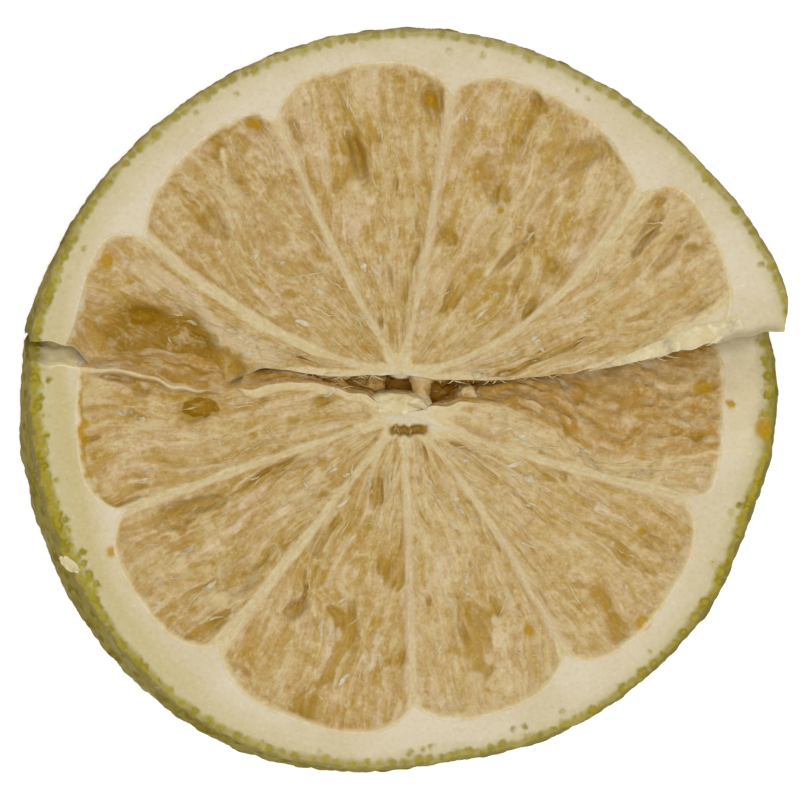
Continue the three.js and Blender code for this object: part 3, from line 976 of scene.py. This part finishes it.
def glands_of(half):
    """Middles and sizes of the oil glands under the skin: rows in the cut faces, more between."""
    made = np.random.default_rng(int(half["seed"] * 10))
    count = len(half["lengths"])
    spots = []
    for share in (1.0, 0.0):
        place = made.uniform(0, 0.02)
        while place < count:
            size = made.uniform(0.24, 0.4)
            spots.append((place, share, size * made.uniform(0.6, 1.1), size))
            crowded = half is LOWER and place < 1.4
            if made.random() < (0.2 if crowded else 0.12):
                spots.append((place + 0.02, share, made.uniform(0.75, 1.3), made.uniform(0.15, 0.27)))
            if crowded:
                spots.append((place + 0.03, share, made.uniform(0.45, 0.75), made.uniform(0.28, 0.42)))
                if made.random() < 0.5:
                    spots.append((place + 0.01, share, made.uniform(0.8, 1.05), made.uniform(0.2, 0.36)))
            place += made.uniform(0.04, 0.075)
    for share in (0.3, 0.38, 0.46, 0.55, 0.63, 0.72, 0.82, 0.91):
        for place in (0.0, count):
            spots.append((place, share, made.uniform(0.4, 0.65), made.uniform(0.38, 0.55)))
    rows = 9
    for row in range(1, rows):
        place = made.uniform(0, 0.05)
        while place < count:
            spots.append((place, row / rows + made.uniform(-0.04, 0.04),
                          made.uniform(0.2, 0.45), made.uniform(0.24, 0.4)))
            place += made.uniform(0.05, 0.12)
    turn, share, depth, size = np.array(spots).T
    turn = np.clip(turn, 0, count - HAIR)
    share = np.clip(share, 0, 1)
    border = border_distance(half, turn, share)
    rim = rim_distance(half, direction(half, turn, RIND_RADIUS, share), share)
    x, y = spread_out(half, turn, (rim - depth) / border, share)[:2]
    return np.stack([x, y, share * face_height(half, x, y)], 1), size


def gland_distance(points, middles, sizes):
    """Distance in mm from each point to the side of the nearest gland."""
    tree = mathutils.kdtree.KDTree(len(middles))
    for index, middle in enumerate(middles):
        tree.insert(middle, index)
    tree.balance()
    result = np.empty(len(points))
    for index, point in enumerate(points):
        _, found, away = tree.find(point)
        result[index] = away - sizes[found]
    return result


def rind_bar(name, blank, half):
    """Rind and pith of one half: a bar bent round the flesh."""
    piece = copy_of(blank, name)
    out, around, share = points_of(piece).T
    count = len(half["lengths"])
    turn = np.clip(around * count, 0, count - HAIR)
    from_gape = RIM_STEP * turn
    pith = out ** 0.65 * (1 - 0.095 * half["reach"] * bell(from_gape, 1.3))
    x, y = spread_out(half, turn, 1.0, share, pith=pith)[:2]
    height = face_height(half, x, y) - 0.1 * out ** 8 - 0.03 * smooth(out, 0.1, 0)
    height = height - half["reach"] * 0.25 * bell(from_gape, 0.35)
    set_points(piece, np.stack([x, y, share * height], 1) * MM)
    border = border_distance(half, turn, share)
    rim = rim_distance(half, direction(half, turn, RIND_RADIUS, share), share)
    seen = np.degrees(np.arctan2(y, x))
    broad = 1.1 + 0.8 * hump(seen, 190, 22) + 0.2 * hump(seen, 238, 22) + 0.35 * hump(seen, 342, 22)
    depth = (1 - pith) * (rim - border) / broad
    outer = at_end(out)
    faces = at_end(share) | at_start(share)
    middles, sizes = glands_of(half)
    gland = gland_distance(points_of(piece) / MM, middles, sizes)
    note(piece, "gland", gland)
    note(piece, "depth", depth)
    note(piece, "wall", outer * ~faces)
    note(piece, "stain", in_spots(STAINS, x, y))
    note(piece, "green", 0.6 + 0.4 * hump(seen, 188, 30) + 0.4 * hump(seen, 347, 32)
         + 0.15 * hump(seen, 300, 40) + 0.1 * hump(seen, 225, 25))
    # How much darker and yellower the pith is near the rind, by direction: partly its own tinge, partly
    # painted shade, strongest on the left.
    note(piece, "tinge_and_shade", 0.1 + 0.9 * hump(seen, 186, 24) + 0.7 * hump(seen, 222, 28)
         + 0.3 * hump(seen, 330, 25) + 0.4 * hump(seen, 145, 35))
    # The torn end faces of the pith, which get the painted light.
    note(piece, "broken_end_light", (at_start(around) + 0.25 * at_end(around)) * ~at_start(share))
    # Where the upper lip's edge turns down at the gape, for its painted shade.
    note(piece, "turned_down_shade", 0.9 * half["reach"] / UPPER["reach"] * bell(from_gape, 0.4))
    inner = smooth(share, 0.0, 0.06) * smooth(share, 1.0, 0.94)
    weigh(piece, "skin", outer * (0.35 + 0.65 * inner))
    weigh(piece, "skin_bumps", outer * smooth(gland, 0.45, 0.0))
    weigh(piece, "face", at_end(share) * smooth(depth, 0.0, 0.3) * smooth(out, 0.0, 0.1))
    weigh(piece, "cups", at_end(share) * smooth(gland, 0.02, -0.1) * (depth > 0.1))
    weigh(piece, "torn", (at_start(around) | at_end(around)) * inner * smooth(out, 1, 0.9))
    press(piece, SWELLS, 0.4, "skin", direction="NORMAL")
    press(piece, LUMPS, 0.2, "skin", direction="NORMAL")
    press(piece, CRUMPLE, 0.08, "skin", direction="NORMAL")
    press(piece, None, 0.09, "skin_bumps", direction="NORMAL", middle=0.0)
    press(piece, None, -0.07, "cups", middle=0.0)
    press(piece, SWELLS, 0.16, "face")
    press(piece, CRUMPLE, 0.05, "face")
    press(piece, LUMPS, 0.35, "torn", direction="NORMAL")
    points = points_of(piece)
    points[:, 2] = np.maximum(points[:, 2], half["foot_height"] * MM)
    set_points(piece, points)
    finish_piece(piece, RIND)
    return piece


# ---------------------------------------------------------------- core


def core_lump(name, middle, reach, base, top, turn=0.0, rough=0.5):
    """An upright lump of core pith with a domed, crumpled head."""
    piece = copy_of(blank_post, name)
    u, v, up = points_of(piece).T
    u, v = 2 * u - 1, 2 * v - 1
    round_u, round_v = u * np.sqrt(1 - v * v / 2), v * np.sqrt(1 - u * u / 2)
    c, s = math.cos(math.radians(turn)), math.sin(math.radians(turn))
    spread = 1 - 0.18 * np.maximum(0, up - 0.8) / 0.2
    wide_x, wide_y = reach[0] * round_u * spread, reach[1] * round_v * spread
    x = middle[0] + wide_x * c - wide_y * s
    y = middle[1] + wide_x * s + wide_y * c
    dome = 0.35 * (round_u ** 2 + round_v ** 2)
    z = base + (top - base) * up - dome * at_end(up)
    set_points(piece, np.stack([x, y, z], 1) * MM)
    weigh(piece, "all", smooth(up, 0.0, 0.1))
    press(piece, LUMPS, 1.2 * rough, "all", direction="X")
    press(piece, LUMPS, 1.2 * rough, "all", direction="Y")
    press(piece, LUMPS, 0.6 * rough, "all", direction="NORMAL")
    press(piece, CRUMPLE, 0.6 * rough, "all", direction="NORMAL")
    height = points_of(piece)[:, 2] / MM
    # Depth below the cut face, or height over the crack's floor where that is less, for the painted depth
    # shade.
    note(piece, "shade_depth", np.minimum(height, THICKNESS - height))
    finish_piece(piece, CORE)
    return piece


# ---------------------------------------------------------------- torn strips, strands and films


def lay_along(piece, knots, wide, thick):
    """Bends a unit bar along a smooth curve through the knots; the widths are spread along it."""
    along, across, up = points_of(piece).T
    steps = np.linspace(0, 1, len(knots))
    power = min(3, len(knots) - 1)
    curve = [np.poly1d(np.polyfit(steps, column, power)) for column in np.transpose(knots)]
    ahead_x, ahead_y = curve[0].deriv()(along), curve[1].deriv()(along)
    length = np.hypot(ahead_x, ahead_y) + HAIR
    width = np.interp(along, np.linspace(0, 1, len(wide)), wide)
    x = curve[0](along) - ahead_y / length * (across - 0.5) * width
    y = curve[1](along) + ahead_x / length * (across - 0.5) * width
    arch = thick * (1 - (2 * across - 1) ** 2)
    z = curve[2](along) + (up - 0.5) * thick * width / max(wide) + 0.6 * arch
    set_points(piece, np.stack([x, y, z], 1) * MM)


def torn_strip(name, knots, wide, thick, rough, level=THICKNESS):
    """A crumpled strip of torn membrane, browner the further it lies below the level: painted depth shade.
    """
    piece = copy_of(blank_strip, name)
    lay_along(piece, knots, wide, thick)
    weigh(piece, "all", 0 * points_of(piece)[:, 0] + 1)
    press(piece, LUMPS, rough, "all", direction="NORMAL")
    press(piece, CRUMPLE, 0.6 * rough, "all", direction="NORMAL")
    # Depth below the level, for the painted depth shade.
    note(piece, "shade_depth", level - points_of(piece)[:, 2] / MM)
    return piece


def joined(pieces, name, finish):
    only(pieces[0])
    for piece in pieces:
        piece.select_set(True)
    bpy.ops.object.join()
    pieces[0].name = pieces[0].data.name = name
    finish_piece(pieces[0], finish)


def resting(piece, x, y):
    """Height of the piece's surface under a point, or nothing where it isn't there."""
    hit, place, _, _ = piece.ray_cast((x * MM, y * MM, 0.02), (0, 0, -1))
    return place[2] / MM if hit else None


def scraps(blank, name, finish, number, long, wide, thick, lift):
    """Loose strands or films lying on every upper segment, roughly along its juice sacs."""
    made = np.random.default_rng(len(name))
    pieces = []
    for segment, half, index in SEGMENTS:
        for _ in range(number):
            turn = np.array([index + made.uniform(0.08, 0.92)])
            x, y, _, angle = spread_out(half, turn, made.uniform(0.2, 0.95), np.ones(1))
            heading = np.radians(angle[0]) + made.normal(0, 0.45)
            reach = made.uniform(*long) / 2
            ends = [(x[0] + side * reach * np.cos(heading), y[0] + side * reach * np.sin(heading))
                    for side in (-1, 1)]
            turned = made.uniform(-0.25, 0.25) * reach
            middle = (x[0] - turned * np.sin(heading), y[0] + turned * np.cos(heading))
            heights = [resting(segment, *spot) for spot in (ends[0], middle, ends[1])]
            if None in heights or np.ptp(heights) > 0.5:
                continue
            top = min(heights[1] + made.uniform(*lift), THICKNESS + 0.3)
            knots = [(*ends[0], heights[0]), (*middle, top), (*ends[1], heights[2])]
            width = made.uniform(*wide)
            piece = copy_of(blank, f"{name}_{len(pieces)}")
            lay_along(piece, knots, (0.3 * width, width, 0.9 * width, 0.2 * width), thick)
            pieces.append(piece)
    joined(pieces, name, finish)
    weigh(pieces[0], "all", 0 * points_of(pieces[0])[:, 0] + 1)
    press(pieces[0], CRUMPLE, 0.3, "all")
    press(pieces[0], CRUMPLE, 0.4, "all", direction="X")
    press(pieces[0], CRUMPLE, 0.4, "all", direction="Y")


def fringe(name, along_edge=30, over_slit=7):
    """Short torn fibres along the crack's four edges, drooping into it, and across the slit."""
    made = np.random.default_rng(11)
    pieces = []
    for half, into in ((UPPER, -1), (LOWER, 1)):
        for side in (0, 1):
            for _ in range(along_edge):
                radius = made.uniform(1.8, 20.5 if half is LOWER or side == 0 else 6.0)
                x, y = edge_spot(half, side, radius)
                height = face_height(half, np.array(x), np.array(y)) - hollow_depth(x, y)
                height = height - made.uniform(0.3, 0.7)
                slide = made.uniform(-1.2, 1.2)
                reach = into * made.uniform(0.02, 0.3)
                knots = [(x, y - 0.1 * into, height), (x + 0.6 * slide, y + 0.8 * reach, height),
                         (x + slide, y + reach, height - made.uniform(0.1, 0.4))]
                width = made.uniform(0.04, 0.1)
                piece = copy_of(blank_strand, f"{name}_{len(pieces)}")
                lay_along(piece, knots, (width, 0.8 * width, 0.2 * width), 0.07)
                pieces.append(piece)
    for _ in range(over_slit):
        x = made.uniform(-0.8, 1.4)
        top = THICKNESS - made.uniform(0.8, 1.1)
        knots = [(x, -1.6, top + 0.2), (x + made.uniform(-0.1, 0.1), -1.95, top - 0.1),
                 (x + made.uniform(-0.2, 0.2), -2.3, top + 0.2)]
        piece = copy_of(blank_strand, f"{name}_{len(pieces)}")
        lay_along(piece, knots, (0.1, 0.04, made.uniform(0.03, 0.1)), 0.06)
        pieces.append(piece)
    joined(pieces, name, STRAND)


blank_inner = unit_slab("blank_inner", [(14, 14), (11, 11)], 1)
blank_edge = unit_slab("blank_edge", [(14, 14), (11, 11)], 60)
blank_under = unit_slab("blank_under", [(9, 9), (8, 8)], 1)
blank_bar = unit_bar("blank_bar", [(4, 4), (19, 29), (4, 6)])
blank_post = unit_bar("blank_post", [(29,), (29,), (29,)])
blank_strip = unit_bar("blank_strip", [(9, 9), (11,), (1,)])
blank_strand = unit_bar("blank_strand", [(7,), (), ()])
blank_film = unit_bar("blank_film", [(4,), (2,), ()])

SEGMENTS = []
for half_name, half in (("lower", LOWER), ("upper", UPPER)):
    count = len(half["lengths"])
    for index in range(count):
        blank = blank_edge if index in (0, count - 1) else blank_inner
        piece = flesh_segment(f"flesh_{half_name}_{index + 1}", blank, half, index)
        SEGMENTS.append((piece, half, index))
    rind_bar(f"rind_{half_name}", blank_bar, half)

UNDER_HUB = (-0.1, 0.4)


def pith_reach(runs):
    """How far the pith's inner edge lies from the underside's hub between each two membranes."""
    headings, distances = [], []
    for half in (LOWER, UPPER):
        turn = np.linspace(0, len(half["lengths"]) - HAIR, 400)
        x, y = spread_out(half, turn, 1.0, 0 * turn)[:2]
        headings.append(np.degrees(np.arctan2(y - UNDER_HUB[1], x - UNDER_HUB[0])))
        distances.append(np.hypot(x - UNDER_HUB[0], y - UNDER_HUB[1]))
    heading, distance = np.concatenate(headings), np.concatenate(distances)
    reach = []
    for run, ahead in zip(runs[:-1], runs[1:]):
        inside = (heading - run["rim"]) % 360 < ahead["rim"] - run["rim"]
        reach.append(distance[inside].max() + 0.15)
    return reach


def underside():
    """The underside's membranes run from its own hub to the corners of the pith's inner edge."""
    runs = []
    for half in (LOWER, UPPER):
        count = len(half["lengths"])
        for index in range(1, count):
            turn = np.array([index + 0.0])
            x, y = spread_out(half, turn, 1.0, np.zeros(1))[:2]
            heading = math.degrees(math.atan2(y[0] - UNDER_HUB[1], x[0] - UNDER_HUB[0])) % 360
            runs.append(line(heading))
    runs += [line(12.1), line(169.8)]        # the two membranes that lie below the crack
    runs.sort(key=lambda run: run["rim"])
    runs.append(line(runs[0]["rim"] + 360))
    return {"hub": UNDER_HUB, "rim_centre": (0.0, 0.0), "rim_radius": RIND_RADIUS, "swells": [],
            "end_corners": (0.0, 0.0), "corners": 0.2, "hub_web": 0.4, "undercut": 0.0,
            "reach": 0.0, "lines": runs, "feet": [runs[0], runs[-1]], "wall_start": 0.5,
            "wall_power": 1.0, "lengths": pith_reach(runs), "dryness": [0.1] * (len(runs) - 1),
            "lift": 0.0, "seed": 8.3}


UNDER = underside()
for index in range(len(UNDER["lengths"])):
    flesh_segment(f"flesh_under_{index + 1}", blank_under, UNDER, index, under=True)

core_lump("core_middle", (-0.5, -0.55), (2.5, 1.2), CORE_FOOT, THICKNESS - 0.2, rough=0.3)
core_lump("core_ledge", (-2.5, 0.8), (1.5, 1.2), CORE_FOOT, THICKNESS - 1.8, rough=1.0)
core_lump("core_floor", (1.0, 0.8), (3.0, 1.1), CORE_FOOT, THICKNESS - 3.0, rough=0.8)
core_lump("core_knob", (4.2, -0.3), (0.9, 1.3), CORE_FOOT, THICKNESS - 0.8, turn=20, rough=0.6)
core_lump("core_upper", (-0.15, 1.95), (1.0, 0.6), CORE_FOOT, THICKNESS - 0.26, rough=0.2)
core_lump("core_under", UNDER_HUB, (1.3, 1.2), 2 * UNDER_REST, LAYER, rough=0.15)

finish_piece(torn_strip("core_bridge", [(1.2, 1.9, THICKNESS - 1.1), (1.1, 0.9, THICKNESS - 1.6),
                                        (1.1, 0.4, THICKNESS - 1.5), (0.9, -0.5, THICKNESS - 0.7)],
                        (2.2, 1.3, 1.1, 1.3, 2.0), 0.6, 0.35), CORE)
lip = THICKNESS + LIFT
finish_piece(torn_strip("curled_strip", [(21.9, 5.1, lip - 0.1), (18.2, 3.9, lip - 0.15),
                                         (15.3, 2.9, lip - 0.25), (12.0, 1.9, lip - 0.55)],
                        (0.8, 1.2, 1.1, 0.8, 0.5, 0.1), 0.1, 0.15, level=lip + 0.5), CORE)
finish_piece(torn_strip("rim_scrap", [(-22.4, -10.2, THICKNESS - 0.3), (-21.8, -10.7, THICKNESS + 0.02),
                                      (-21.1, -11.2, THICKNESS - 0.08)],
                        (0.2, 0.6, 0.7, 0.2), 0.08, 0.35), CORE)
bpy.context.view_layer.update()
scraps(blank_film, "films", FILM, 7, (0.4, 1.3), (0.15, 0.45), 0.02, (0.0, 0.04))
scraps(blank_strand, "strands", STRAND, 14, (0.8, 2.6), (0.04, 0.1), 0.06, (0.0, 0.1))
fringe("fringe")

for blank in (blank_inner, blank_edge, blank_under, blank_bar, blank_post,
              blank_strip, blank_strand, blank_film):
    bpy.data.objects.remove(blank)

# ---------------------------------------------------------------- floor, light and camera


def studio():
    right, back, high = 0.03, -0.02, 0.55
    bpy.ops.mesh.primitive_plane_add(size=3.0, location=(0, 0, 0))
    floor = bpy.context.object
    floor.name = "floor"
    material, _, skin = new_material("floor_white")
    set_sockets(skin, Base_Color=(0.85, 0.85, 0.85, 1), Roughness=0.9, Specular_IOR_Level=0.0,
                Emission_Color=(1, 1, 1, 1), Emission_Strength=0.4)
    floor.data.materials.append(material)
    bpy.ops.object.light_add(type="AREA", location=(right, back, high))
    key = bpy.context.object
    key.data.size = 0.35
    key.data.energy = 2.35
    key.rotation_euler = (math.atan2(-back, high), math.atan2(right, high), 0)
    world = bpy.data.worlds.new("studio")
    world.use_nodes = True
    world.node_tree.nodes["Background"].inputs["Color"].default_value = (1, 1, 1, 1)
    world.node_tree.nodes["Background"].inputs["Strength"].default_value = 0.55
    bpy.context.scene.world = world
    bpy.context.scene.view_settings.view_transform = "Standard"


def camera():
    distance = 0.5
    sensor = 36
    view_width, view_middle = 52.05 * MM, -0.26 * MM
    bpy.ops.object.camera_add(location=(view_middle, 0, THICKNESS * MM + distance), rotation=(0, 0, 0))
    made = bpy.context.object
    made.data.sensor_width = sensor
    made.data.lens = sensor * distance / view_width
    bpy.context.scene.camera = made


studio()
camera()
